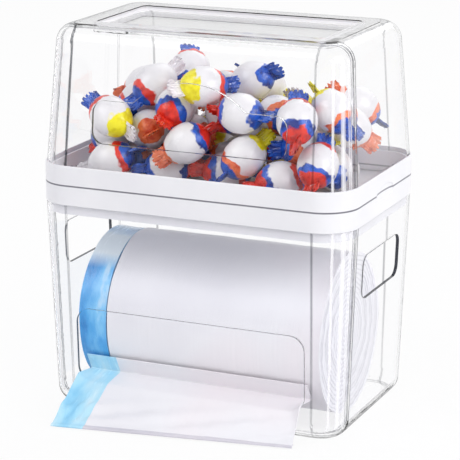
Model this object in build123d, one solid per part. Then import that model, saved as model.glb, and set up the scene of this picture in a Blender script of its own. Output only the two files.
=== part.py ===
"""Trash bag and pod dispenser: a clear bin for a roll of bags, a white tray on it, and a clear lid over the pods.

Millimetres. The origin is the middle of the bin's foot, Z is up and the front with its slot faces -Y.
"""

import math
import os
import random

import numpy as np
from build123d import *

# Roll of folded bags, which the dispenser is sized around
roll_radius = 60.0
roll_length = 190.0
roll_flat = 0.8

# Room from the roll to the outline of the white bands, and from its top to the bin's rim
roll_left_room = 27.0
roll_right_room = 23.0
roll_front_room = 12.6
roll_back_room = 22.6
roll_head_room = 31.4

# Outline shared by the two white bands
corner_radius = 26.0

# Clear mouldings and the fits between pieces
clear_wall = 2.4
fit_gap = 0.4
bond_gap = 0.1

# Clear bin, narrower at the foot than at the rim
bin_inset = 0.4
bin_draft = 6.0
bin_corner_loss = 5.0
bin_floor = 3.0
bin_foot_round = 12.0

# Front slot that the bags are pulled from, and the hand holes in both sides
slot_side = 31.2
slot_bottom = 21.5
slot_top = 77.2
slot_round = 11.0
hole_side = 40.6
hole_drop = 24.3
hole_height = 32.0
hole_round = 8.0

# White tray: its band stands on the bin's rim and its skirt drops inside
tray_band = 14.5
tray_wall = 3.0
skirt_depth = 7.0
skirt_wall = 1.8
pan_depth = 5.0
pan_plate = 2.2

# White rim of the lid, with a groove for the dome and a lip that drops into the tray
rim_band = 14.5
rim_skin = 1.2
rim_inner_wall = 1.4
rim_inner_drop = 3.0
groove_depth = 8.0
lip_depth = 3.5
lip_wall = 1.6
seam_round = 0.6
crest_round = 0.8

# Finger scoop across the seam on both sides
scoop_length = 34.0
scoop_height = 11.4
scoop_depth = 2.0

# Clear dome of the lid
dome_height = 98.7
dome_side_draft = 6.4
dome_front_draft = 11.1
dome_corner_loss = 4.0
dome_top_round = 14.0
panel_margin = 25.0
panel_drop = 4.3
panel_round = 5.0

# Hand opening in the dome's front, with a raised middle
window_side = 46.0
window_sill = 17.8
window_height = 30.6
window_round = 9.0
hump_side = 31.0
hump_rise = 17.0

# Blue drawstring hem at the roll's left end, and the turns that show at both ends
hem_width = 23.0
hem_step = 0.6
end_round = 2.0
turn_count = 9
turn_groove = 1.6

# The bag that is pulled out over the slot's lower edge
strip_thickness = 1.0
strip_side_gap = 1.6
strip_lift = 0.25
strip_run = 16.0
strip_leave_angle = 30.0
strip_reach_left = 47.0
strip_reach_right = 18.5
strip_foot = 0.4
crease_round = 3.0
lip_reach = 3.4
lip_round = 6.0

# One pod: a rounded pouch with a pinched film tail at each end
pod_length = 36.5
pod_girth = 29.0
tail_length = 15.0
tail_width = 16.0
tail_thickness = 2.4
tail_overlap = 4.5
tail_twist = 65.0

# The heap of pods
pod_count = 44
pod_gap = 0.15
heap_clearance = 1.2
heap_rise = 30.0
heap_fall = 8.0
heap_tries = 5
heap_seed = 7
heap_grid = 1.0
heap_skip_count = 4
low_tilt_angle = 20.0
high_tilt_angle = 55.0

# Sizes of the outline, the slot, the holes and the opening that follow
outer_width = roll_left_room + roll_length + roll_right_room
outer_depth = roll_front_room + 2 * roll_radius + roll_back_room
roll_forward = (roll_back_room - roll_front_room) / 2
roll_shift = (roll_left_room - roll_right_room) / 2
bin_height = bin_floor + 2 * roll_radius - roll_flat + roll_head_room
slot_width = outer_width - 2 * slot_side
hole_width = outer_depth - 2 * hole_side
hole_top = bin_height - hole_drop
hole_bottom = hole_top - hole_height
window_width = outer_width - 2 * window_side
hump_width = window_width - 2 * hump_side

# Heights that follow
seam = bin_height + tray_band
rim_top = seam + rim_band
dome_top = rim_top + dome_height
pan_floor = seam - pan_depth
groove_floor = rim_top - groove_depth
dome_inset = rim_skin + bond_gap
rim_open_inset = dome_inset + clear_wall + bond_gap + rim_inner_wall
lip_inset = tray_wall + fit_gap
skirt_inset = bin_inset + bin_draft * skirt_depth / bin_height + clear_wall + fit_gap


def plate(width, depth, radius, z):
    """A rounded rectangle lying at height z."""
    return Plane.XY.offset(z) * RectangleRounded(width, depth, radius)


def band(inset, bottom, top):
    """A straight block inside the bands' outline by the inset."""
    outline = plate(outer_width - 2 * inset, outer_depth - 2 * inset, corner_radius - inset, bottom)
    return extrude(outline, amount=top - bottom)


def bin_plan(z, inset):
    """The bin's outline at a height, drawn in by the inset."""
    share = 1 - z / bin_height
    shrink = bin_inset + bin_draft * share + inset
    radius = corner_radius - bin_inset - bin_corner_loss * share - inset
    return plate(outer_width - 2 * shrink, outer_depth - 2 * shrink, radius, z)


def dome_size(z, inset):
    """Width, depth and corner radius of the dome at a height, drawn in by the inset."""
    share = (z - rim_top) / dome_height
    shrink = dome_inset + inset
    width = outer_width - 2 * (shrink + dome_side_draft * share)
    depth = outer_depth - 2 * (shrink + dome_front_draft * share)
    return width, depth, corner_radius - shrink - dome_corner_loss * share


def dome_plan(z, inset):
    return plate(*dome_size(z, inset), z)


def front_face(z):
    """How far the bin's front stands out from the middle at a height."""
    return outer_depth / 2 - bin_inset - bin_draft * (1 - z / bin_height)


# Clear bin
bin_outside = loft([bin_plan(0, 0), bin_plan(bin_height, 0)], ruled=True)
bin_outside = fillet(bin_outside.edges().group_by(Axis.Z)[0], bin_foot_round)
bin_inside = loft([bin_plan(bin_floor, clear_wall), bin_plan(bin_height + 5, clear_wall)], ruled=True)
bin_inside = fillet(bin_inside.edges().group_by(Axis.Z)[0], bin_foot_round - clear_wall)
slot_middle = (slot_bottom + slot_top) / 2
slot_outline = RectangleRounded(slot_width, slot_top - slot_bottom, slot_round)
slot_cut = extrude(Plane.XZ * Pos(0, slot_middle) * slot_outline, amount=outer_depth)
hole_middle = (hole_bottom + hole_top) / 2
hole_outline = RectangleRounded(hole_width, hole_top - hole_bottom, hole_round)
hole_cut = extrude(Plane.YZ * Pos(0, hole_middle) * hole_outline, amount=outer_width, both=True)
clear_bin = bin_outside - bin_inside - slot_cut - hole_cut

# Finger scoops, cut from the tray and the rim alike
scoop = scale(Sphere(1), by=(scoop_depth, scoop_length / 2, scoop_height / 2))
scoops = [Pos(side * outer_width / 2, 0, seam) * scoop for side in (-1, 1)]

# White tray
tray = band(0, bin_height, seam)
tray = fillet(tray.edges().group_by(Axis.Z)[0] + tray.edges().group_by(Axis.Z)[-1], seam_round)
tray += band(skirt_inset, bin_height - skirt_depth, bin_height + seam_round)
tray -= band(tray_wall, pan_floor, seam + 1)
tray -= band(skirt_inset + skirt_wall, bin_height - skirt_depth - 1, pan_floor - pan_plate)
tray = tray - scoops[0] - scoops[1]

# White rim of the lid
lid_rim = band(0, seam, rim_top)
lid_rim = fillet(lid_rim.edges().group_by(Axis.Z)[0], seam_round)
lid_rim = fillet(lid_rim.edges().group_by(Axis.Z)[-1], crest_round)
lid_rim += band(lip_inset, seam - lip_depth, seam + seam_round)
lid_rim -= band(lip_inset + lip_wall, seam - lip_depth - 1, seam)
lid_rim -= band(rim_open_inset, seam, rim_top + 1)
groove = band(rim_skin, groove_floor, rim_top + 1)
groove -= band(rim_open_inset - rim_inner_wall, groove_floor, rim_top - rim_inner_drop)
lid_rim = lid_rim - groove - scoops[0] - scoops[1]

# Clear dome: drafted walls, rounded top edge, sunk top panel, straight foot in the rim's groove
dome_outside = loft([dome_plan(rim_top, 0), dome_plan(dome_top, 0)], ruled=True)
dome_outside = fillet(dome_outside.edges().group_by(Axis.Z)[-1], dome_top_round)
dome_ceiling = dome_top - clear_wall
dome_inside = loft([dome_plan(rim_top, clear_wall), dome_plan(dome_ceiling, clear_wall)], ruled=True)
dome_inside = fillet(dome_inside.edges().group_by(Axis.Z)[-1], dome_top_round - clear_wall)
top_width, top_depth, top_corner = dome_size(dome_top, 0)
panel_width = top_width - 2 * panel_margin
panel_depth = top_depth - 2 * panel_margin
panel_floor = dome_top - panel_drop
panel = extrude(plate(panel_width, panel_depth, panel_round, panel_floor), amount=panel_drop + 1)
panel_under = plate(
    panel_width + 2 * clear_wall, panel_depth + 2 * clear_wall, panel_round + clear_wall, panel_floor - clear_wall
)
dome_inside -= extrude(panel_under, amount=panel_drop + clear_wall)
foot = band(dome_inset, groove_floor, rim_top) - band(dome_inset + clear_wall, groove_floor, rim_top)
window_bottom = rim_top + window_sill
window_outline = Pos(0, window_bottom + window_height / 2) * RectangleRounded(
    window_width, window_height, window_round
)
hump_radius = (hump_width**2 / 4 + hump_rise**2) / (2 * hump_rise)
hump_top = window_bottom + window_height + hump_rise
hump = Pos(0, hump_top - hump_radius) * Circle(hump_radius)
hump &= Pos(0, hump_top) * Rectangle(hump_width, 2 * (hump_rise + window_height / 2))
window_cut = extrude(Plane.XZ * (window_outline + hump), amount=outer_depth)
lid_dome = dome_outside - dome_inside + foot - panel - window_cut

# Roll of bags and its drawstring hem, with turns showing at both ends
roll_height = bin_floor + roll_radius - roll_flat
roll_left = roll_shift - roll_length / 2
roll_right = roll_shift + roll_length / 2
hem_right = roll_left + hem_width


def turned_end(x, inward, radius):
    """Points of a roll's end from its middle to its rim, one step for each turn."""
    pitch = (radius - end_round) / turn_count
    points = []
    for turn in range(turn_count):
        depth = turn_groove if turn % 2 == 0 else 0
        points.append((x + inward * depth, turn * pitch))
        points.append((x + inward * depth, (turn + 1) * pitch))
    points.append((x + inward * end_round, radius))
    return points


def roll_part(points):
    """Turns a half outline about the roll's axis and rests it on the bin's floor."""
    half = make_face(Polyline(*points, close=True))
    turned = Pos(0, -roll_forward, roll_height) * revolve(half, Axis.X)
    below = Box(2 * roll_length, 4 * roll_radius, roll_radius, align=(Align.CENTER, Align.CENTER, Align.MAX))
    return turned - Pos(0, 0, bin_floor) * below


bag_outline = [(hem_right, 0), (hem_right, roll_radius)] + turned_end(roll_right, -1, roll_radius)[::-1]
hem_radius = roll_radius - hem_step
hem_outline = turned_end(roll_left, 1, hem_radius) + [(hem_right, hem_radius), (hem_right, 0)]
bag_roll = roll_part(bag_outline)
roll_drawstring = roll_part(hem_outline)

# The pulled-out bag: down the roll's front, over the slot's lower edge and on to the table
strip_half = slot_width / 2 - strip_side_gap
slot_flat = slot_width / 2 - slot_round


def strip_section(x):
    """The bag's section across the slot at one place along it."""
    along = (x + strip_half) / (2 * strip_half)
    reach = strip_reach_left + (strip_reach_right - strip_reach_left) * along
    angle = math.radians(strip_leave_angle)
    clear = roll_radius + strip_lift + strip_thickness / 2
    touch = Vector(-roll_forward - clear * math.cos(angle), roll_height - clear * math.sin(angle))
    run = Vector(math.sin(angle), -math.cos(angle)) * (strip_run / 2)
    crease = touch + run
    face = front_face(slot_bottom)
    climb = max(0.0, abs(x) - slot_flat)
    lip = slot_bottom + slot_round - math.sqrt(slot_round**2 - climb**2) + strip_lift + strip_thickness / 2
    past_wall = (crease.X + face + lip_reach) / (crease.X + face - clear_wall)
    rise = max(0.0, lip - crease.Y) * (past_wall - 1)
    edge = Vector(-face - lip_reach, lip + rise)
    end = Vector(-face - reach, strip_foot + strip_thickness / 2)
    path = FilletPolyline(touch - run, crease, edge, end, radius=(crease_round, lip_round))
    return Plane((x, 0, 0), x_dir=(0, 1, 0), z_dir=(1, 0, 0)) * trace(path, strip_thickness)


corner_stops = [slot_flat, (slot_flat + strip_half) / 2, strip_half]
strip_hem = -strip_half + hem_width
hem_stops = [-stop for stop in reversed(corner_stops)] + [strip_hem]
bag_stops = [strip_hem] + corner_stops
strip_drawstring = loft([strip_section(x) for x in hem_stops], ruled=True)
bag_strip = loft([strip_section(x) for x in bag_stops], ruled=True)

# One pod
half_length = pod_length / 2
half_girth = pod_girth / 2
tail_place = half_length + tail_length / 2 - tail_overlap
body_sizes = np.array([half_length, half_girth, half_girth])
tail_sizes = np.array([tail_length / 2, tail_width / 2, tail_thickness / 2])


def turn_matrix(yaw, pitch, roll):
    """Rotation by roll about X, then pitch about Y, then yaw about Z, in degrees."""
    a, b, c = (math.radians(angle) for angle in (yaw, pitch, roll))
    about_z = np.array([[math.cos(a), -math.sin(a), 0], [math.sin(a), math.cos(a), 0], [0, 0, 1]])
    about_y = np.array([[math.cos(b), 0, math.sin(b)], [0, 1, 0], [-math.sin(b), 0, math.cos(b)]])
    about_x = np.array([[1, 0, 0], [0, math.cos(c), -math.sin(c)], [0, math.sin(c), math.cos(c)]])
    return about_z @ about_y @ about_x


pod_lobes = [
    (np.zeros(3), body_sizes, np.eye(3)),
    (np.array([-tail_place, 0, 0]), tail_sizes, np.eye(3)),
    (np.array([tail_place, 0, 0]), tail_sizes, turn_matrix(0, 0, tail_twist)),
]


def tail(seam_turn):
    """A flat tail. Its seam is turned about Z to lie at the tip, clear of the join with the body."""
    return scale(Rot(0, 0, seam_turn) * Sphere(1), by=tuple(tail_sizes))


body_arc = Edge.make_ellipse(half_length, half_girth, start_angle=0, end_angle=180)
body_axis = Edge.make_line((-half_length, 0, 0), (half_length, 0, 0))
pod = revolve(Face(Wire([body_arc, body_axis])), axis=Axis.X)
pod += Pos(-tail_place, 0, 0) * tail(180)
pod += Pos(tail_place, 0, 0) * Rot(tail_twist, 0, 0) * tail(0)


def pod_shape(turn):
    """The turned pod's underside and top on the heap's grid, and its reach in every direction around."""
    reach = half_length + tail_length
    cells = int(math.ceil(reach / heap_grid))
    steps = np.arange(-cells, cells + 1) * heap_grid
    x, y = np.meshgrid(steps, steps, indexing="ij")
    under = np.full(x.shape, np.inf)
    over = np.full(x.shape, -np.inf)
    support = np.full(len(around), -np.inf)
    for centre, sizes, own_turn in pod_lobes:
        axes = turn @ own_turn
        middle = turn @ centre
        grown = sizes + pod_gap
        form = axes @ np.diag(1 / grown**2) @ axes.T
        dx = x - middle[0]
        dy = y - middle[1]
        lean = form[0, 2] * dx + form[1, 2] * dy
        rest = form[0, 0] * dx**2 + 2 * form[0, 1] * dx * dy + form[1, 1] * dy**2 - 1
        inside = lean**2 - form[2, 2] * rest
        root = np.sqrt(np.maximum(inside, 0))
        low = np.where(inside > 0, middle[2] + (-lean - root) / form[2, 2], np.inf)
        high = np.where(inside > 0, middle[2] + (-lean + root) / form[2, 2], -np.inf)
        under = np.minimum(under, low)
        over = np.maximum(over, high)
        spread = np.linalg.norm((around @ axes) * grown, axis=1)
        support = np.maximum(support, around @ middle + spread)
    return under, over, support, cells


def heap_pods():
    """Drops the pods one by one where each comes to rest lowest, kept clear of the rim and the dome."""
    chance = random.Random(heap_seed)
    half_x = int(outer_width / 2 / heap_grid)
    half_y = int(outer_depth / 2 / heap_grid)
    ground = np.full((2 * half_x + 1, 2 * half_y + 1), pan_floor)
    places = []
    for number in range(pod_count):
        best = None
        for attempt in range(heap_tries):
            tilt = low_tilt_angle if number < pod_count / 4 else high_tilt_angle
            turn = turn_matrix(chance.uniform(0, 360), chance.uniform(-tilt, tilt), chance.uniform(0, 360))
            under, over, support, cells = pod_shape(turn)
            windows = np.lib.stride_tricks.sliding_window_view(ground, under.shape)
            windows = windows[::heap_skip_count, ::heap_skip_count]
            height = (windows - under).max(axis=(2, 3))
            x = (np.arange(height.shape[0]) * heap_skip_count + cells - half_x) * heap_grid
            y = (np.arange(height.shape[1]) * heap_skip_count + cells - half_y) * heap_grid
            x, y = np.meshgrid(x, y, indexing="ij")
            top = height + over[np.isfinite(over)].max()
            share = np.maximum(0, (top - rim_top) / dome_height)
            wall = dome_inset + clear_wall
            side = outer_width / 2 - np.maximum(rim_open_inset, wall + dome_side_draft * share)
            front = outer_depth / 2 - np.maximum(rim_open_inset, wall + dome_front_draft * share)
            corner = corner_radius - rim_open_inset - dome_corner_loss
            fits = top < panel_floor - clear_wall - heap_clearance
            for (ux, uy, uz), reach in zip(around, support):
                room = (side - corner) * abs(ux) + (front - corner) * abs(uy) + corner - heap_clearance
                fits &= x * ux + y * uy + reach <= room
            cost = height + heap_rise * (x / outer_width * 2) ** 2 + heap_fall * (y / outer_depth * 2) ** 2
            cost = np.where(fits, cost, np.inf)
            spot = np.unravel_index(np.argmin(cost), cost.shape)
            if np.isfinite(cost[spot]) and (best is None or cost[spot] < best[0]):
                best = (cost[spot], x[spot], y[spot], height[spot], turn, over, spot)
        if best is None:
            break
        _, px, py, pz, turn, over, spot = best
        places.append((px, py, pz, turn))
        across = slice(spot[0] * heap_skip_count, spot[0] * heap_skip_count + over.shape[0])
        deep = slice(spot[1] * heap_skip_count, spot[1] * heap_skip_count + over.shape[1])
        ground[across, deep] = np.maximum(ground[across, deep], over + pz)
    return places


bearings = np.radians(np.arange(0, 360, 10))
around = np.stack([np.cos(bearings), np.sin(bearings), np.zeros(len(bearings))], axis=1)

# Nodes
nodes = {
    "bin": clear_bin,
    "tray": tray,
    "lid_rim": lid_rim,
    "lid_dome": lid_dome,
    "bag_roll": bag_roll,
    "roll_drawstring": roll_drawstring,
    "bag_strip": bag_strip,
    "strip_drawstring": strip_drawstring,
}
for number, (px, py, pz, turn) in enumerate(heap_pods(), start=1):
    pose = Plane((px, py, pz), x_dir=tuple(turn[:, 0]), z_dir=tuple(turn[:, 2]))
    nodes[f"pod_{number:02d}"] = pose * pod

os.makedirs("parts", exist_ok=True)
for name, shape in nodes.items():
    export_step(shape, f"parts/{name}.step")
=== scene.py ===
# %% [markdown]
# # A clear dispenser for trash bags and pods
# The object is a clear bin that holds a roll of bags, a white tray on the bin, and a clear
# lid with a white rim. Colourful pods are heaped on the tray. The solids come from the packed
# CAD model, in metres, and this lesson dresses them: clear plastic, white plastic, film and tape.

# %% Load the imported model
import math

import bmesh
import bpy
import numpy as np
from mathutils import Matrix, Vector


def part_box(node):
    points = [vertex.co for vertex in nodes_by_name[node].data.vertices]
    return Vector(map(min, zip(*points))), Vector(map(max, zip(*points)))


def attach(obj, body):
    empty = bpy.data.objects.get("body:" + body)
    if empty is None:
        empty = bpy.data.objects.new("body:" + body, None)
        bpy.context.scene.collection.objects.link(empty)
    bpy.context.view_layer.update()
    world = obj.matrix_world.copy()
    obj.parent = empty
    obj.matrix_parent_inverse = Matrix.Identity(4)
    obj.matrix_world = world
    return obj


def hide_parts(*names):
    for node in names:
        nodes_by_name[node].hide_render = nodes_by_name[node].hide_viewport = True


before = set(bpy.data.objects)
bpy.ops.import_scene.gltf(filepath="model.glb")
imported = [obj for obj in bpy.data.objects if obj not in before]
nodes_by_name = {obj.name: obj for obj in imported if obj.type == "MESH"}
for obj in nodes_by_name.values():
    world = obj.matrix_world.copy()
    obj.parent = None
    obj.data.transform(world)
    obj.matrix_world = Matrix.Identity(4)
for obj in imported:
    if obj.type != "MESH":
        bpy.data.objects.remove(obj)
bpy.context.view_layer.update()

pod_names = sorted(name for name in nodes_by_name if name.startswith("pod_"))

# %% [markdown]
# Every step adds or changes one piece, so a helper leaves only that piece selected. The CAD
# nodes are selected after loading, and an operator would act on all of them.

# %% Select one piece alone


def select_alone(piece):
    bpy.ops.object.select_all(action="DESELECT")
    piece.select_set(True)
    bpy.context.view_layer.objects.active = piece


def apply_modifiers(piece):
    select_alone(piece)
    for modifier in list(piece.modifiers):
        bpy.ops.object.modifier_apply(modifier=modifier.name)


def triangles(piece):
    piece.data.calc_loop_triangles()
    return len(piece.data.loop_triangles)


bpy.ops.object.select_all(action="DESELECT")
print("nothing selected")

# %% [markdown]
# A finish starts from Blender's Principled shader. A noise on Object coordinates gives the
# small unevenness that keeps plastic and film from looking like one flat paint.

# %% Helpers for finishes


def new_finish(name):
    material = bpy.data.materials.new(name)
    material.use_nodes = True
    tree = material.node_tree
    return material, tree.nodes, tree.links, tree.nodes["Principled BSDF"]


def add_noise(nodes, links, scale, stretch=(1, 1, 1), detail=3.0):
    place = nodes.new("ShaderNodeTexCoord")
    mapping = nodes.new("ShaderNodeMapping")
    mapping.inputs["Scale"].default_value = stretch
    noise = nodes.new("ShaderNodeTexNoise")
    noise.inputs["Scale"].default_value = scale
    noise.inputs["Detail"].default_value = detail
    links.new(place.outputs["Object"], mapping.inputs["Vector"])
    links.new(mapping.outputs["Vector"], noise.inputs["Vector"])
    return noise.outputs["Fac"]


def add_ramp(nodes, links, factor, stops):
    ramp = nodes.new("ShaderNodeValToRGB")
    elements = ramp.color_ramp.elements
    while len(elements) < len(stops):
        elements.new(0.5)
    for element, (position, colour) in zip(elements, stops):
        element.position = position
        element.color = (*colour, 1)
    links.new(factor, ramp.inputs["Fac"])
    return ramp.outputs["Color"]


def add_bump(nodes, links, shader, height, strength, distance):
    bump = nodes.new("ShaderNodeBump")
    bump.inputs["Strength"].default_value = strength
    bump.inputs["Distance"].default_value = distance
    links.new(height, bump.inputs["Height"])
    links.new(bump.outputs["Normal"], shader.inputs["Normal"])


def vary_roughness(nodes, links, shader, factor, low, high):
    span = nodes.new("ShaderNodeMapRange")
    span.inputs["To Min"].default_value = low
    span.inputs["To Max"].default_value = high
    links.new(factor, span.inputs["Value"])
    links.new(span.outputs["Result"], shader.inputs["Roughness"])


def add_math(nodes, links, operation, first, second=None):
    step = nodes.new("ShaderNodeMath")
    step.operation = operation
    for place, value in enumerate((first, second)):
        if isinstance(value, (int, float)):
            step.inputs[place].default_value = value
        elif value is not None:
            links.new(value, step.inputs[place])
    return step.outputs["Value"]


def within(nodes, links, amount, tests):
    """The amount where every test holds, and 0 elsewhere. A test is (operation, value, limit)."""
    for operation, value, limit in tests:
        holds = add_math(nodes, links, operation, value, limit)
        amount = add_math(nodes, links, "MULTIPLY", amount, holds)
    return amount


def object_place(nodes, links):
    """The place on the piece, as a node with the outputs X, Y and Z."""
    place = nodes.new("ShaderNodeTexCoord")
    where = nodes.new("ShaderNodeSeparateXYZ")
    links.new(place.outputs["Object"], where.inputs["Vector"])
    return where


def multiply_colours(nodes, links, first, second):
    mix = nodes.new("ShaderNodeMix")
    mix.data_type = "RGBA"
    mix.blend_type = "MULTIPLY"
    mix.inputs[0].default_value = 1.0
    links.new(first, mix.inputs[6])
    links.new(second, mix.inputs[7])
    return mix.outputs[2]


def dress_node(name, material):
    node = nodes_by_name[name]
    if not node.material_slots:
        node.data.materials.append(material)
    for slot in node.material_slots:
        slot.material = material


print("finish helpers ready")

# %% [markdown]
# The bin and the lid are clear moulded plastic. Clear mouldings show dark lines on the cut edges
# of their openings, and here that shade is painted on as a dark colour. An edge is found by its
# place on the piece and by the way it faces: in the front wall it is whatever doesn't face
# forwards, and in a side wall what doesn't face sideways.

# %% Painted shade on the cut edges of the clear plastic
faces_away = 0.3
front_wall_y = -0.060
front_openings_z = (0.018, 0.255)
side_wall_x = 0.105
hole_half_y = 0.045
hole_z = (0.09, 0.135)


def painted_edge_shade_mask(nodes, links, where, side, front):
    """1 where shade is painted: the edges of the slot and the hand opening in front, and of the side
    holes.
    """
    up = where.outputs["Z"]
    across = add_math(nodes, links, "ABSOLUTE", where.outputs["X"])
    deep = add_math(nodes, links, "ABSOLUTE", where.outputs["Y"])
    in_front = add_math(nodes, links, "LESS_THAN", where.outputs["Y"], front_wall_y)
    front_tests = (
        ("LESS_THAN", front, faces_away),
        ("GREATER_THAN", up, front_openings_z[0]),
        ("LESS_THAN", up, front_openings_z[1]),
    )
    in_side = add_math(nodes, links, "GREATER_THAN", across, side_wall_x)
    side_tests = (
        ("LESS_THAN", side, faces_away),
        ("LESS_THAN", deep, hole_half_y),
        ("GREATER_THAN", up, hole_z[0]),
        ("LESS_THAN", up, hole_z[1]),
    )
    in_front = within(nodes, links, in_front, front_tests)
    in_side = within(nodes, links, in_side, side_tests)
    return add_math(nodes, links, "MAXIMUM", in_front, in_side)


print("cut edges of the slot, the hand opening and the holes")

# %% [markdown]
# Clear mouldings also show thin lines where a flat wall starts to turn into a rounded corner or
# rim; here they are painted: the dark lines are painted shade and the white streaks painted
# highlights. The way the surface faces finds those lines. Every corner has faint ones. The two front
# corners have a dark double line on their outer side and white streaks in between, and the lid's
# front left corner has one more dark line. All of them are painted on the piece, so they stay in
# place from every side.

# %% Painted shade lines and highlight streaks in the corners
clear = (1.0, 1.0, 1.0)
# The dark and the faint colour below are painted shade for the lines in the corners.
painted_line_shade = (0.16, 0.165, 0.18)
faint = (0.42, 0.425, 0.44)
black, white = (0.0, 0.0, 0.0), (1.0, 1.0, 1.0)
lid_foot_z = 0.18


def bands(ground, mark, *places):
    """Ramp stops for marks on a ground. A place is where a mark starts, is full, ends and is gone."""
    stops = []
    for place in places:
        stops += list(zip(place, (ground, mark, mark, ground)))
    return stops


def painted_corner_shade(nodes, links, where, side, front, up):
    """The colours of the painted shade lines, one for each kind."""
    near_half = add_math(nodes, links, "LESS_THAN", where.outputs["Y"], 0.0)
    any_corner = add_math(nodes, links, "MINIMUM", side, front)
    near_corner = add_math(nodes, links, "MULTIPLY", front, near_half)
    left_tests = (
        ("LESS_THAN", where.outputs["X"], 0.0),
        ("GREATER_THAN", where.outputs["Z"], lid_foot_z),
    )
    near_side = add_math(nodes, links, "MULTIPLY", side, near_half)
    left_corner = within(nodes, links, near_side, left_tests)
    every = bands(clear, faint, (0.030, 0.042, 0.060, 0.075))
    double = bands(clear, painted_line_shade, (0.025, 0.035, 0.070, 0.080), (0.170, 0.185, 0.220, 0.235))
    single = bands(clear, painted_line_shade, (0.030, 0.040, 0.070, 0.080))
    rim = bands(clear, faint, (0.925, 0.945, 0.965, 0.985))
    kinds = ((any_corner, every), (near_corner, double), (left_corner, single), (up, rim))
    return [add_ramp(nodes, links, turn, stops) for turn, stops in kinds]


def painted_corner_highlights(nodes, links, where, front, up):
    """1 on the painted highlight streaks of the front corners."""
    near_half = add_math(nodes, links, "LESS_THAN", where.outputs["Y"], 0.0)
    near_corner = add_math(nodes, links, "MULTIPLY", front, near_half)
    upright = within(nodes, links, near_corner, [("LESS_THAN", up, faces_away)])
    streaks = bands(
        black,
        white,
        (0.290, 0.310, 0.350, 0.370),
        (0.520, 0.540, 0.610, 0.630),
        (0.790, 0.800, 0.830, 0.840),
    )
    return add_ramp(nodes, links, upright, streaks)


print("corner lines and streaks")

# %% [markdown]
# Where a clear wall turns edge-on the eye looks through much more plastic, so it looks darker
# there; that shade is painted: Layer Weight paints a dark colour only on those grazing places. The
# low walls round the sunk top panel are left a little milky, because light runs to and fro in them.
# Shadow and diffuse rays pass straight through, as light does through thin clear walls, so the pods
# inside stay bright.

# %% Clear plastic
panel_wall_z = (0.2774, 0.2806)
panel_wall_tilt = 0.5
grazing_painted_shade = [
    (0.0, (0.997, 0.997, 0.999)),
    (0.78, (0.993, 0.993, 0.997)),
    (0.88, (0.15, 0.155, 0.17)),
]


def let_light_through(nodes, links, shader):
    path = nodes.new("ShaderNodeLightPath")
    shadow, diffuse = path.outputs["Is Shadow Ray"], path.outputs["Is Diffuse Ray"]
    through = nodes.new("ShaderNodeBsdfTransparent")
    through.inputs["Color"].default_value = (0.97, 0.97, 0.98, 1)
    mix = nodes.new("ShaderNodeMixShader")
    links.new(add_math(nodes, links, "MAXIMUM", shadow, diffuse), mix.inputs["Fac"])
    links.new(shader.outputs["BSDF"], mix.inputs[1])
    links.new(through.outputs["BSDF"], mix.inputs[2])
    links.new(mix.outputs["Shader"], nodes["Material Output"].inputs["Surface"])


def clear_plastic():
    material, nodes, links, shader = new_finish("clear_plastic_look")
    shader.inputs["IOR"].default_value = 1.25
    facing = nodes.new("ShaderNodeLayerWeight")
    facing.inputs["Blend"].default_value = 0.5
    place = nodes.new("ShaderNodeTexCoord")
    way = nodes.new("ShaderNodeSeparateXYZ")
    links.new(place.outputs["Normal"], way.inputs["Vector"])
    side, front, up = (add_math(nodes, links, "ABSOLUTE", way.outputs[axis]) for axis in "XYZ")
    where = object_place(nodes, links)
    edge = painted_edge_shade_mask(nodes, links, where, side, front)
    # Painted shade where the wall turns edge-on, with the painted lines and edge shade multiplied in.
    clear_with_painted_shade = add_ramp(nodes, links, facing.outputs["Facing"], grazing_painted_shade)
    # The cut edges get a near-black colour as painted shade.
    cut = add_ramp(nodes, links, edge, [(0.0, clear), (1.0, (0.08, 0.085, 0.10))])
    for colour in (*painted_corner_shade(nodes, links, where, side, front, up), cut):
        clear_with_painted_shade = multiply_colours(nodes, links, clear_with_painted_shade, colour)
    links.new(clear_with_painted_shade, shader.inputs["Base Color"])
    panel_wall = add_math(nodes, links, "GREATER_THAN", where.outputs["Z"], panel_wall_z[0])
    panel_tests = (
        ("LESS_THAN", where.outputs["Z"], panel_wall_z[1]),
        ("LESS_THAN", up, panel_wall_tilt),
    )
    panel_wall = within(nodes, links, panel_wall, panel_tests)
    # White streaks are painted in the front corners as highlights.
    painted_highlight = painted_corner_highlights(nodes, links, where, front, up)
    painted_highlight = add_math(nodes, links, "MULTIPLY", painted_highlight, 0.6)
    milky_walls_and_painted_highlights = add_math(nodes, links, "MAXIMUM", panel_wall, painted_highlight)
    # Less light goes through the painted edge shade, the painted highlights and the milky walls.
    milky_and_painted_opacity = add_math(nodes, links, "MAXIMUM", edge, milky_walls_and_painted_highlights)
    milky_and_painted_opacity = add_math(nodes, links, "MULTIPLY", milky_and_painted_opacity, -0.75)
    links.new(add_math(nodes, links, "ADD", milky_and_painted_opacity, 1.0), shader.inputs["Transmission Weight"])
    waviness = add_noise(nodes, links, 45.0)
    vary_roughness(nodes, links, shader, waviness, 0.0, 0.03)
    let_light_through(nodes, links, shader)
    return material


clear_look = clear_plastic()
dress_node("bin", clear_look)
dress_node("lid_dome", clear_look)
print("clear walls on the bin and the lid")

# %% [markdown]
# The tray and the lid's rim are white moulded plastic with a satin surface. A fine noise moves
# the gloss a little and roughens the surface by a few hundredths of a millimetre. In the narrow
# seam between the two, hardly any light gets out, so the rounded edges there are grey.

# %% White plastic
seam_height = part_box("tray")[1][2]


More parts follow.
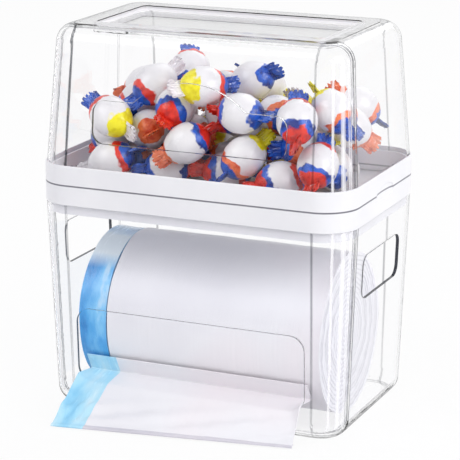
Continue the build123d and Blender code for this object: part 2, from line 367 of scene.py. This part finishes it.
def white_plastic():
    material, nodes, links, shader = new_finish("white_plastic_look")
    cloud = add_noise(nodes, links, 18.0)
    colour = add_ramp(nodes, links, cloud, [(0.3, (0.80, 0.80, 0.825)), (0.7, (0.86, 0.86, 0.875))])
    where = object_place(nodes, links)
    above_seam = add_math(nodes, links, "SUBTRACT", where.outputs["Z"], seam_height)
    off_seam = add_math(nodes, links, "ABSOLUTE", above_seam)
    off_seam_mm = add_math(nodes, links, "MULTIPLY", off_seam, 1000.0)
    seam = add_ramp(nodes, links, off_seam_mm, [(0.45, (0.30, 0.30, 0.33)), (0.75, clear)])
    links.new(multiply_colours(nodes, links, colour, seam), shader.inputs["Base Color"])
    grain = add_noise(nodes, links, 1800.0)
    vary_roughness(nodes, links, shader, grain, 0.28, 0.42)
    add_bump(nodes, links, shader, grain, 0.15, 0.0001)
    return material


white_look = white_plastic()
dress_node("tray", white_look)
dress_node("lid_rim", white_look)
print("white bands on the tray and the lid's rim")

# %% [markdown]
# A pod is a smooth white egg in film, with coloured gel ends and a crinkled film fan at each
# tip. The shell is a glossy white. The coloured ends are glossy gel under wrinkled film, so a
# coarse noise breaks up their highlights and their depth of colour; on the fans it also paints
# pale glints, which are painted highlights. Some tips are bare film, pale and a little rosy.

# %% Pod finishes


def mix_colours(nodes, links, factor, first, second):
    mix = nodes.new("ShaderNodeMix")
    mix.data_type = "RGBA"
    links.new(factor, mix.inputs[0])
    for place, colour in ((6, first), (7, second)):
        if isinstance(colour, tuple):
            mix.inputs[place].default_value = (*colour, 1)
        else:
            links.new(colour, mix.inputs[place])
    return mix.outputs[2]


def beyond(nodes, links, along, start, sign):
    """0 before a place along the pod and 1 after it, towards one end, with a narrow soft edge."""
    edge = nodes.new("ShaderNodeMapRange")
    edge.interpolation_type = "SMOOTHSTEP"
    edge.inputs["From Min"].default_value = start - 0.012 * sign
    edge.inputs["From Max"].default_value = start + 0.012 * sign
    links.new(along, edge.inputs["Value"])
    return edge.outputs["Result"]


def pod_skin(name, near_band, near_tip, far_band, far_tip):
    material, nodes, links, shader = new_finish(name)
    cloud = add_noise(nodes, links, 60.0)
    colour = add_ramp(nodes, links, cloud, [(0.35, (0.80, 0.79, 0.80)), (0.7, (0.90, 0.89, 0.89))])
    length = nodes.new("ShaderNodeUVMap")
    parts = nodes.new("ShaderNodeSeparateXYZ")
    links.new(length.outputs["UV"], parts.inputs["Vector"])
    wander = add_math(nodes, links, "MULTIPLY", add_noise(nodes, links, 95.0, detail=2.0), 0.30)
    wander = add_math(nodes, links, "SUBTRACT", wander, 0.15)
    along = add_math(nodes, links, "ADD", parts.outputs["Y"], wander)
    gel_crinkle = add_noise(nodes, links, 150.0, detail=2.0)
    ends = ((near_band, 0.34, -1), (near_tip, 0.24, -1), (far_band, 0.66, 1), (far_tip, 0.76, 1))
    gel = None
    for paint, start, sign in ends:
        if paint is None:
            continue
        deep, bright = paint
        patch = add_ramp(nodes, links, gel_crinkle, [(0.36, deep), (0.55, bright)])
        reach = beyond(nodes, links, along, start, sign)
        colour = mix_colours(nodes, links, reach, colour, patch)
        gel = reach if gel is None else add_math(nodes, links, "MAXIMUM", gel, reach)
    links.new(colour, shader.inputs["Base Color"])
    vary_roughness(nodes, links, shader, cloud, 0.20, 0.38)
    height = add_noise(nodes, links, 260.0)
    if gel is not None:
        wrinkles = add_math(nodes, links, "MULTIPLY", gel, gel_crinkle)
        height = add_math(nodes, links, "ADD", height, wrinkles)
    add_bump(nodes, links, shader, height, 0.16, 0.0012)
    return material


def film_fan(name, deep, bright):
    material, nodes, links, shader = new_finish(name)
    crinkle = add_noise(nodes, links, 150.0, detail=2.0)
    # The palest shade, on the highest crinkles, is a painted glint.
    painted_glint = tuple(0.45 + 0.55 * part for part in bright)
    shades = [(0.36, deep), (0.52, bright), (0.66, bright), (0.76, painted_glint)]
    colour = add_ramp(nodes, links, crinkle, shades)
    links.new(colour, shader.inputs["Base Color"])
    vary_roughness(nodes, links, shader, crinkle, 0.10, 0.30)
    shader.inputs["Coat Weight"].default_value = 0.5
    shader.inputs["Coat Roughness"].default_value = 0.08
    add_bump(nodes, links, shader, crinkle, 0.55, 0.0020)
    return material


pod_paints = {
    "blue": ((0.006, 0.025, 0.22), (0.015, 0.11, 0.58)),
    "red": ((0.50, 0.008, 0.006), (0.82, 0.035, 0.015)),
    "orange": ((0.66, 0.07, 0.015), (0.92, 0.21, 0.07)),
    "yellow": ((0.74, 0.62, 0.0), (0.95, 0.86, 0.02)),
    "bare": ((0.80, 0.74, 0.77), (0.90, 0.87, 0.89)),
}
gel_paints = {name: paint for name, paint in pod_paints.items() if name != "bare"}
# Band and tip at one end, then band and tip at the end that faces the front
pod_colours = [
    (None, "bare", "red", "blue"),
    ("red", "blue", "blue", "red"),
    ("blue", "red", None, "blue"),
    (None, "yellow", "orange", "blue"),
    (None, "orange", "blue", "red"),
    ("red", "blue", "yellow", "bare"),
    ("orange", "blue", None, "orange"),
]
fan_looks = {name: film_fan(f"pod_{name}_fan", *paint) for name, paint in pod_paints.items()}
skin_looks = [
    pod_skin(f"pod_skin_{number}", *(gel_paints.get(name) for name in colours))
    for number, colours in enumerate(pod_colours, 1)
]
print("pod finishes:", len(skin_looks), "skins and", len(fan_looks), "fans")

# %% [markdown]
# One pod is modelled at the origin, lying along X, to the sizes of its CAD solid. A sphere is
# turned and stretched into the egg, and an open cone is flattened and crumpled into each fan.
# Some points of a fan's tip are pulled in, so its edge is ragged, and its corners are rounded to
# stay in the space of the solid. The egg's UV map runs from tip to tip, so the skin's colours
# follow it, and each fan has a slot of its own.

# %% Model a film fan
fan_middle = 0.0210
fan_length = 0.0136
fan_root_radius = 0.0064
fan_tip_radius = 0.0072
fan_flatness = 0.11
fan_crumple = 0.0008
fan_tip_start = fan_middle + 0.0050
fan_corner_pull = 0.45
fan_twist = math.radians(65)
fan_film = 0.0003


def model_fan(seed, end, colour_slots):
    bpy.ops.object.select_all(action="DESELECT")
    bpy.ops.mesh.primitive_cone_add(
        vertices=22,
        radius1=fan_root_radius,
        radius2=fan_tip_radius,
        depth=fan_length,
        end_fill_type="NOTHING",
        location=(fan_middle, 0, 0),
        rotation=(0, math.pi / 2, 0),
    )
    fan = bpy.context.object
    bpy.ops.object.transform_apply(location=True, rotation=True, scale=True)
    bpy.ops.object.mode_set(mode="EDIT")
    bpy.ops.mesh.subdivide(number_cuts=3)
    bpy.ops.transform.resize(value=(1, 1, fan_flatness), center_override=(fan_middle, 0, 0))
    bpy.ops.transform.vertex_random(offset=fan_crumple, seed=seed)
    bpy.ops.mesh.select_all(action="DESELECT")
    edit = bmesh.from_edit_mesh(fan.data)
    for vertex in edit.verts:
        every_third = int(900 * vertex.co.y + seed) % 3 == 0
        vertex.select = vertex.co.x > fan_tip_start and every_third
    edit.select_flush_mode()
    bmesh.update_edit_mesh(fan.data)
    bpy.ops.transform.resize(value=(0.7, 0.95, 0.6), center_override=(fan_middle, 0, 0))
    for vertex in edit.verts:
        out = vertex.co.x - fan_middle
        if out > 0:
            vertex.co.x -= fan_corner_pull * out * (vertex.co.y / fan_tip_radius) ** 2
    bmesh.update_edit_mesh(fan.data)
    bpy.ops.object.mode_set(mode="OBJECT")
    for material in colour_slots:
        fan.data.materials.append(material)
    for face in fan.data.polygons:
        face.material_index = end
    turn = Matrix.Rotation(math.pi, 4, "Z") if end == 1 else Matrix.Rotation(fan_twist, 4, "X")
    fan.data.transform(turn)
    skin = fan.modifiers.new("film", "SOLIDIFY")
    skin.thickness = fan_film
    apply_modifiers(fan)
    return fan


print("a film fan is", 1000 * fan_length, "mm long")

# %% [markdown]
# The egg's two ends are drawn in a little and dented, because the gel there is soft. The fans are
# then joined to it. Three such pods, crumpled differently, are enough for the heap.

# %% Model a pod
pod_half = Vector((0.01825, 0.0145, 0.0145))
gel_start = 0.0080
gel_draw_in = (0.985, 0.965, 0.965)
gel_dent = 0.00035


def model_pod(seed):
    slots = [skin_looks[0], fan_looks["blue"], fan_looks["bare"]]
    bpy.ops.object.select_all(action="DESELECT")
    along_x = (0, math.pi / 2, 0)
    bpy.ops.mesh.primitive_uv_sphere_add(segments=32, ring_count=20, radius=1, rotation=along_x)
    pod = bpy.context.object
    bpy.ops.object.transform_apply(location=True, rotation=True, scale=True)
    bpy.ops.object.mode_set(mode="EDIT")
    bpy.ops.transform.resize(value=pod_half, center_override=(0, 0, 0))
    bpy.ops.mesh.select_all(action="DESELECT")
    edit = bmesh.from_edit_mesh(pod.data)
    for vertex in edit.verts:
        vertex.select = abs(vertex.co.x) > gel_start
    edit.select_flush_mode()
    bmesh.update_edit_mesh(pod.data)
    bpy.ops.transform.resize(value=gel_draw_in, center_override=(0, 0, 0))
    bpy.ops.transform.vertex_random(offset=gel_dent, seed=seed)
    bpy.ops.object.mode_set(mode="OBJECT")
    for material in slots:
        pod.data.materials.append(material)
    fans = [model_fan(seed, 1, slots), model_fan(seed + 50, 2, slots)]
    bpy.ops.object.select_all(action="DESELECT")
    for fan in fans:
        fan.select_set(True)
    pod.select_set(True)
    bpy.context.view_layer.objects.active = pod
    bpy.ops.object.join()
    bpy.ops.object.shade_smooth_by_angle(angle=math.radians(50))
    return pod


pod_patterns = [model_pod(seed) for seed in (3, 11, 27)]
print("one pod has", triangles(pod_patterns[0]), "triangles")

# %% [markdown]
# Each pod of the heap takes the pose of its CAD solid. Two points at its far ends give a
# first axis. An ellipsoid fitted to a belt round the pod's body then gives the middle and the long
# axis, and the widest direction of one fan gives the turn about that axis. An axis may come out
# either way round, so it is turned to point to the front, and the fan's direction upwards. A solid
# that was read and written again may have a dent in place of a fan, and then the dent's points,
# which lie inside the ellipsoid, give the same direction.

# %% Find a pod's pose
first_belt_half = 0.0090
belt_half = 0.0135
fan_start = 0.0200
dent_limit = 0.97
faint = 1e-6
frontwards = np.array((0.2, -1.0, 0.3))
upwards = np.array((0.3, 0.2, 1.0))


def fit_ellipsoid(points):
    """The middle, the long axis and the form of the ellipsoid that the points lie on.

    The form gives 1 for an arm from the middle to the surface, and less for one that ends inside.
    """
    x, y, z = 100 * points.T
    squares = (x * x, y * y, z * z, 2 * x * y, 2 * x * z, 2 * y * z)
    terms = np.stack((*squares, 2 * x, 2 * y, 2 * z), axis=1)
    fit = np.linalg.lstsq(terms, np.ones(len(terms)), rcond=None)[0]
    xx, yy, zz, xy, xz, yz = fit[:6]
    form = np.array([[xx, xy, xz], [xy, yy, yz], [xz, yz, zz]])
    middle = -np.linalg.solve(form, fit[6:])
    unit_form = 100 * 100 * form / (1 + middle @ form @ middle)
    return middle / 100, np.linalg.eigh(form)[1][:, 0], unit_form


def pod_pose(node):
    mesh = node.data
    points = np.empty(3 * len(mesh.vertices))
    mesh.vertices.foreach_get("co", points)
    points = np.unique(points.reshape(-1, 3).round(6), axis=0)
    middle = (points.min(axis=0) + points.max(axis=0)) / 2
    first = points[np.linalg.norm(points - middle, axis=1).argmax()]
    last = points[np.linalg.norm(points - first, axis=1).argmax()]
    middle = (first + last) / 2
    axis = (last - first) / np.linalg.norm(last - first)
    belt = points[np.abs((points - middle) @ axis) < first_belt_half]
    for _ in range(3):
        shift, axis, form = fit_ellipsoid(belt - middle)
        middle = middle + shift
        axis = axis * np.sign(axis @ frontwards)
        belt = points[np.abs((points - middle) @ axis) < belt_half]
    arms = points - middle
    fan = arms[arms @ axis < -fan_start]
    if len(fan) == 0:
        inside = np.sum(arms @ form * arms, axis=1) < dent_limit
        fan = arms[inside & (arms @ axis < -belt_half)]
    # A faint upright point leaves the direction as it is, and gives one if no other point is there.
    fan = np.vstack((fan, faint * upwards))
    fan = fan - np.outer(fan @ axis, axis)
    wide = np.linalg.svd(fan, full_matrices=False)[2][0]
    wide = wide - axis * (wide @ axis)
    wide = wide * np.sign(wide @ upwards) / np.linalg.norm(wide)
    columns = np.stack((axis, wide, np.cross(axis, wide), middle), axis=1)
    return Matrix([*columns.tolist(), (0, 0, 0, 1)])


print("poses come from", len(pod_names), "solids")

# %% [markdown]
# Each pod of the heap is a copy of one of the three models, with a mesh of its own, put in the
# pose of its solid and given one of the colour sets in turn.

# %% Heap the pods
for number, name in enumerate(pod_names):
    mesh = pod_patterns[number % 3].data.copy()
    mesh.name = name + "_look"
    mesh.transform(pod_pose(nodes_by_name[name]))
    kind = (5 * number + 3) % len(pod_colours)
    mesh.materials[0] = skin_looks[kind]
    mesh.materials[1] = fan_looks[pod_colours[kind][1]]
    mesh.materials[2] = fan_looks[pod_colours[kind][3]]
    pod = bpy.data.objects.new(name + "_look", mesh)
    bpy.context.scene.collection.objects.link(pod)
    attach(pod, "tray")
    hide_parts(name)
for pattern in pod_patterns:
    bpy.data.objects.remove(pattern)
print("pods in the heap", len(pod_names))

# %% [markdown]
# The bags are thin film wound on a roll. The film is a soft white with fine creases that run
# round the roll, most of them near its ends. On the end itself the edges of the turns show as
# rings, with painted shade between them. The drawstring tape in the hem makes a blue band at the
# left end of the roll. Its palest patches are painted glints, and near the top of the roll a
# painted highlight makes it pale.

# %% Film and tape finishes
roll_axis_y, roll_axis_z = -0.005, 0.0622
height_scale = 8.0
# The heights of the painted highlight on the tape.
painted_shine_height = bands(black, white, (0.81, 0.88, 0.95, 0.98))


def bag_film(name, light, shade, rosy):
    material, nodes, links, shader = new_finish(name)
    soft = add_noise(nodes, links, 9.0, detail=2.0)
    colour = add_ramp(nodes, links, soft, [(0.3, shade), (0.5, light), (0.75, rosy)])
    links.new(colour, shader.inputs["Base Color"])
    crease = add_noise(nodes, links, 1.0, (320, 14, 14), 4.0)
    vary_roughness(nodes, links, shader, crease, 0.30, 0.50)
    shader.inputs["Sheen Weight"].default_value = 0.15
    add_bump(nodes, links, shader, crease, 0.25, 0.0010)
    return material


def tape_film(name, deep, middle, pale, painted_glint):
    material, nodes, links, shader = new_finish(name)
    patch = add_noise(nodes, links, 1.0, (60, 26, 26), 3.0)
    colour = add_ramp(nodes, links, patch, [(0.28, deep), (0.46, middle), (0.62, pale), (0.78, painted_glint)])
    where = object_place(nodes, links)
    height = add_math(nodes, links, "MULTIPLY", where.outputs["Z"], height_scale)
    # A paler band near the top of the roll is painted on as a highlight.
    shine = add_ramp(nodes, links, height, painted_shine_height)
    colour = mix_colours(nodes, links, shine, colour, painted_glint)
    links.new(colour, shader.inputs["Base Color"])
    crease = add_noise(nodes, links, 1.0, (420, 90, 90), 3.0)
    vary_roughness(nodes, links, shader, crease, 0.15, 0.35)
    add_bump(nodes, links, shader, crease, 0.3, 0.0010)
    return material


def turns_film(name, base, painted_gap_shade):
    material, nodes, links, shader = new_finish(name)
    place = nodes.new("ShaderNodeTexCoord")
    mapping = nodes.new("ShaderNodeMapping")
    mapping.inputs["Location"].default_value = (0, -roll_axis_y, -roll_axis_z)
    rings = nodes.new("ShaderNodeTexWave")
    rings.wave_type = "RINGS"
    rings.rings_direction = "X"
    rings.inputs["Scale"].default_value = 95.0
    rings.inputs["Distortion"].default_value = 3.0
    rings.inputs["Detail"].default_value = 3.0
    links.new(place.outputs["Object"], mapping.inputs["Vector"])
    links.new(mapping.outputs["Vector"], rings.inputs["Vector"])
    # The dark rings are painted shade between the turns.
    colour = add_ramp(nodes, links, rings.outputs["Fac"], [(0.05, painted_gap_shade), (0.45, base)])
    links.new(colour, shader.inputs["Base Color"])
    vary_roughness(nodes, links, shader, rings.outputs["Fac"], 0.35, 0.55)
    add_bump(nodes, links, shader, rings.outputs["Fac"], 0.3, 0.0006)
    return material


film_look = bag_film("bag_film_look", (0.84, 0.84, 0.87), (0.78, 0.78, 0.82), (0.86, 0.81, 0.84))
# The last colour of each blue set is a painted glint.
tape_blues = (0.03, 0.22, 0.58), (0.09, 0.41, 0.82), (0.22, 0.58, 0.92), (0.84, 0.94, 0.99)
tape_look = tape_film("blue_tape_look", *tape_blues)
# The turned-over front edge has a greyer film, as painted shade on the fold.
fold_painted_shade_look = bag_film("film_fold_painted_shade_look", (0.66, 0.64, 0.70), (0.56, 0.55, 0.61), (0.72, 0.69, 0.74))
hem_blues = (0.22, 0.58, 0.86), (0.40, 0.74, 0.93), (0.55, 0.82, 0.95), (0.80, 0.92, 0.97)
hem_look = tape_film("pale_hem_look", *hem_blues)
film_turns = turns_film("film_turns_look", (0.87, 0.87, 0.90), (0.66, 0.66, 0.70))
tape_turns = turns_film("tape_turns_look", (0.35, 0.63, 0.90), (0.10, 0.32, 0.66))
print("film, tape and the rings of their turns")

# %% [markdown]
# The roll starts as a cylinder along X. Cuts give it rings of points along its length, and its
# end is inset again and again, in and out by a millimetre, so the turns stand up as ridges. A
# cloudy displacement then pushes the skin in by up to a millimetre, as loosely wound film has.

# %% Model the roll
cut_spacing = 0.006
end_margin = 0.0018
turn_width = 0.0024
turn_dip, turn_rise = -0.0008, 0.0006
turn_count = 14
cloud_size = 0.035
loose_depth = 0.0014


def model_roll(name, left, right, radius, outward, looks):
    bpy.ops.object.select_all(action="DESELECT")
    bpy.ops.mesh.primitive_cylinder_add(
        vertices=144,
        radius=radius,
        depth=right - left,
        location=((left + right) / 2, roll_axis_y, roll_axis_z),
        rotation=(0, math.pi / 2, 0),
    )
    roll = bpy.context.object
    roll.name = name
    bpy.ops.object.transform_apply(location=True, rotation=True, scale=True)
    for material in looks:
        roll.data.materials.append(material)
    bpy.ops.object.mode_set(mode="EDIT")
    count = max(3, round((right - left) / cut_spacing))
    for step in range(1, count):
        cut_x = left + (right - left) * step / count
        bpy.ops.mesh.select_all(action="SELECT")
        bpy.ops.mesh.bisect(plane_co=(cut_x, 0, 0), plane_no=(1, 0, 0))
    bpy.ops.mesh.select_mode(type="FACE")
    bpy.ops.mesh.select_all(action="DESELECT")
    edit = bmesh.from_edit_mesh(roll.data)
    for face in edit.faces:
        face.select = face.normal.x * outward > 0.9
        face.material_index = 1 if abs(face.normal.x) > 0.9 else 0
    bmesh.update_edit_mesh(roll.data)
    bpy.ops.mesh.inset(thickness=end_margin, depth=0.0)
    for turn in range(turn_count):
        bpy.ops.mesh.inset(thickness=turn_width, depth=turn_dip if turn % 2 == 0 else turn_rise)
    bpy.ops.object.mode_set(mode="OBJECT")
    clouds = bpy.data.textures.new(name + "_clouds", "CLOUDS")
    clouds.noise_scale = cloud_size
    swell = roll.modifiers.new("loose", "DISPLACE")
    swell.texture = clouds
    swell.texture_coords = "LOCAL"
    swell.mid_level = 1.0
    swell.strength = loose_depth
    apply_modifiers(roll)
    bpy.ops.object.shade_smooth_by_angle(angle=math.radians(40))
    return roll


roll_film = model_roll("bag_roll_look", -0.0698, 0.0968, 0.0592, 1, [film_look, film_turns])
roll_tape = model_roll("roll_tape_look", -0.0928, -0.0700, 0.0588, -1, [tape_look, tape_turns])
roll_pieces = (
    (roll_film, "bag_roll", "bag_film"),
    (roll_tape, "roll_drawstring", "drawstring_tape"),
)
for piece, node, slot in roll_pieces:
    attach(piece, "bin")
    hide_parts(node)
print("roll", triangles(roll_film), "hem", triangles(roll_tape))

# %% [markdown]
# The pulled-out bag is a flat sheet of film. It leaves the front of the roll, creases, goes
# over the slot's lower edge and down to the table, further out on the left than on the right.
# A grid follows that path, small waves make it film, and a thin solidify gives it two faces.
# Its left part is the blue hem, its front edge is turned over and painted greyer as shade on the fold.

# %% The path of the pulled-out bag
sheet_half = 0.0872
slot_flat = 0.0778
slot_corner = 0.011
slot_lip_z = 0.0225
slot_lip_y = -0.0752
front_y = -0.0720
reach_left, reach_right = 0.0470, 0.0185
leaves_roll = (-0.0616, 0.0387)
creases = (-0.0540, 0.0252)
corner_shifts = (-0.016, -0.008, 0, 0.008, 0.016)


def path_points(x):
    """The sheet's line at one place across the slot, as (y, z) points."""
    along = (x + sheet_half) / (2 * sheet_half)
    climb = max(0.0, abs(x) - slot_flat)
    lip = slot_lip_z + slot_corner - math.sqrt(slot_corner**2 - climb**2)
    reach = front_y - reach_left + (reach_left - reach_right) * along
    edge = (slot_lip_y, lip + 0.18 * max(0.0, lip - 0.0249))
    fold = [(reach, 0.0010), (reach - 0.0008, 0.0026), (reach + 0.0030, 0.0034)]
    return [leaves_roll, creases, edge, *fold]


def along_path(points, share):
    """A point at a share of the path's length."""
    lengths = [math.dist(a, b) for a, b in zip(points, points[1:])]
    target = min(max(share, 0.0), 1.0) * sum(lengths)
    for (a, b), length in zip(zip(points, points[1:]), lengths):
        if target <= length:
            part = target / length
            return a[0] + (b[0] - a[0]) * part, a[1] + (b[1] - a[1]) * part
        target -= length
    return points[-1]


def rounded_path(points, share):
    """The mean of five points along the path, which rounds its corners."""
    samples = [along_path(points, share + shift) for shift in corner_shifts]
    y = sum(sample[0] for sample in samples) / len(samples)
    z = sum(sample[1] for sample in samples) / len(samples)
    return y, z


print("the bag ends at", path_points(-sheet_half)[-1], "on the left")

# %% [markdown]
# The film lies loose only between the slot and its end, so the waves fade out towards both. The
# hem is gathered on its tape and has finer waves.

# %% Model the pulled-out bag
hem_edge = -0.0642
columns, rows = 110, 110
fold_rows = 7
sheet_film = 0.0006


def film_wave(x, share):
    """How far the loose film lifts at a place across and along the bag."""
    after_slot = max(0.0, min(1.0, (share - 0.52) / 0.2))
    before_end = max(0.0, min(1.0, (0.92 - share) / 0.1))
    wave = 0.0007 * math.sin(95 * x + 30 * share) + 0.0004 * math.sin(260 * x - 17 * share)
    if x < hem_edge:
        wave += 0.0005 * math.sin(900 * x + 25 * share)
    return after_slot * before_end * (wave + 0.0008)


def model_sheet():
    bpy.ops.object.select_all(action="DESELECT")
    bpy.ops.mesh.primitive_grid_add(x_subdivisions=columns, y_subdivisions=rows, size=2)
    sheet = bpy.context.object
    sheet.name = "bag_sheet_look"
    for vertex in sheet.data.vertices:
        x = vertex.co.x * sheet_half
        share = (1 - vertex.co.y) / 2
        y, z = rounded_path(path_points(x), share)
        vertex.co = (x, y, z + film_wave(x, share))
    for material in (film_look, hem_look, fold_painted_shade_look):
        sheet.data.materials.append(material)
    # The rows of the fold take the fold's painted shade.
    for number, face in enumerate(sheet.data.polygons):
        in_fold = number // columns < fold_rows
        face.material_index = 1 if face.center.x < hem_edge else 2 if in_fold else 0
    skin = sheet.modifiers.new("film", "SOLIDIFY")
    skin.thickness = sheet_film
    skin.offset = 0.0
    apply_modifiers(sheet)
    bpy.ops.object.shade_smooth_by_angle(angle=math.radians(60))
    return sheet


bag_sheet = model_sheet()
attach(bag_sheet, "bin")
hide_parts("bag_strip", "strip_drawstring")
print("pulled-out bag", triangles(bag_sheet))

# %% [markdown]
# The floor is a pale plane that the camera sees as nearly white, and that still takes a faint
# shadow. The world is white to the eye and in reflections, and lights the object more gently.

# %% Floor and world
bpy.ops.object.select_all(action="DESELECT")
bpy.ops.mesh.primitive_plane_add(size=8, location=(0, 0, 0))
floor = bpy.context.object
floor.name = "floor"


def seen_directly(nodes, links):
    """1 for what the camera sees, straight or by a reflection or through clear plastic."""
    path = nodes.new("ShaderNodeLightPath")
    camera, glossy = path.outputs["Is Camera Ray"], path.outputs["Is Glossy Ray"]
    either = add_math(nodes, links, "MAXIMUM", camera, glossy)
    return add_math(nodes, links, "MAXIMUM", either, path.outputs["Is Transmission Ray"])


floor_look, nodes, links, shader = new_finish("floor_look")
shader.inputs["Base Color"].default_value = (0.86, 0.86, 0.87, 1)
shader.inputs["Roughness"].default_value = 0.8
glow = nodes.new("ShaderNodeEmission")
glow_share = add_math(nodes, links, "MULTIPLY", seen_directly(nodes, links), 0.93)
mix = nodes.new("ShaderNodeMixShader")
links.new(glow_share, mix.inputs["Fac"])
links.new(shader.outputs["BSDF"], mix.inputs[1])
links.new(glow.outputs["Emission"], mix.inputs[2])
links.new(mix.outputs["Shader"], nodes["Material Output"].inputs["Surface"])
floor.data.materials.append(floor_look)

world = bpy.data.worlds.new("studio")
bpy.context.scene.world = world
world.use_nodes = True
nodes, links = world.node_tree.nodes, world.node_tree.links
lit = nodes["Background"]
lit.inputs["Color"].default_value = (0.97, 0.96, 1.0, 1)
lit.inputs["Strength"].default_value = 0.62
plain = nodes.new("ShaderNodeBackground")
plain.inputs["Color"].default_value = (1, 1, 1, 1)
mix = nodes.new("ShaderNodeMixShader")
links.new(seen_directly(nodes, links), mix.inputs["Fac"])
links.new(lit.outputs["Background"], mix.inputs[1])
links.new(plain.outputs["Background"], mix.inputs[2])
links.new(mix.outputs["Shader"], nodes["World Output"].inputs["Surface"])
print("floor and world ready")

# %% [markdown]
# A large lamp from the upper left front and one from the right give soft shading, and a weaker
# one lights the back. Two dark cards stand beside the object, seen only in reflections: they draw
# thin dark streaks in the rounded corners of the clear plastic, as cards do in a studio.

# %% Lamps and cards
lamp_target = Vector((0, 0, 0.13))


def add_lamp(name, place, size, power):
    bpy.ops.object.light_add(type="AREA", location=place)
    lamp = bpy.context.object
    lamp.name = name
    lamp.data.size = size
    lamp.data.energy = power
    towards = lamp_target - Vector(place)
    lamp.rotation_euler = towards.to_track_quat("-Z", "Y").to_euler()


add_lamp("key", (-1.1, -1.3, 1.5), 1.3, 13.0)
add_lamp("fill", (1.6, -0.5, 0.9), 1.0, 15.0)
add_lamp("back", (0.2, 1.4, 1.4), 1.2, 7.0)

card_look, nodes, links, shader = new_finish("card_look")
shader.inputs["Base Color"].default_value = (0.02, 0.02, 0.025, 1)
shader.inputs["Roughness"].default_value = 0.9
card_width, card_height = 0.18, 0.8
upright_turn = (math.pi / 2, 0, math.pi / 2)
for name, place in (("card_left", (-0.75, -0.35, 0.3)), ("card_right", (0.75, 0.25, 0.3))):
    bpy.ops.object.select_all(action="DESELECT")
    bpy.ops.mesh.primitive_plane_add(size=1, location=place, rotation=upright_turn)
    card = bpy.context.object
    card.name = name
    card.scale = (card_width, card_height, 1)
    bpy.ops.object.transform_apply(location=True, rotation=True, scale=True)
    card.data.materials.append(card_look)
    card.visible_camera = False
    card.visible_diffuse = False
    card.visible_shadow = False
    card.visible_transmission = False
print("lamps and cards ready")

# %% [markdown]
# The camera stands where the photograph was taken: a long lens, a little above the object and
# to its right.

# %% Camera
camera_data = bpy.data.cameras.new("camera")
camera_data.lens = 165.1
camera_data.sensor_width = 36.0
camera_data.clip_end = 20.0
camera = bpy.data.objects.new("camera", camera_data)
bpy.context.scene.collection.objects.link(camera)
camera.location = (0.60337, -1.36523, 0.52970)
looks_along = Vector((-0.39007, 0.88312, -0.26066))
camera.rotation_euler = looks_along.to_track_quat("-Z", "Y").to_euler()
bpy.context.scene.camera = camera
bpy.context.scene.view_settings.view_transform = "Standard"
print("camera at", tuple(camera.location))
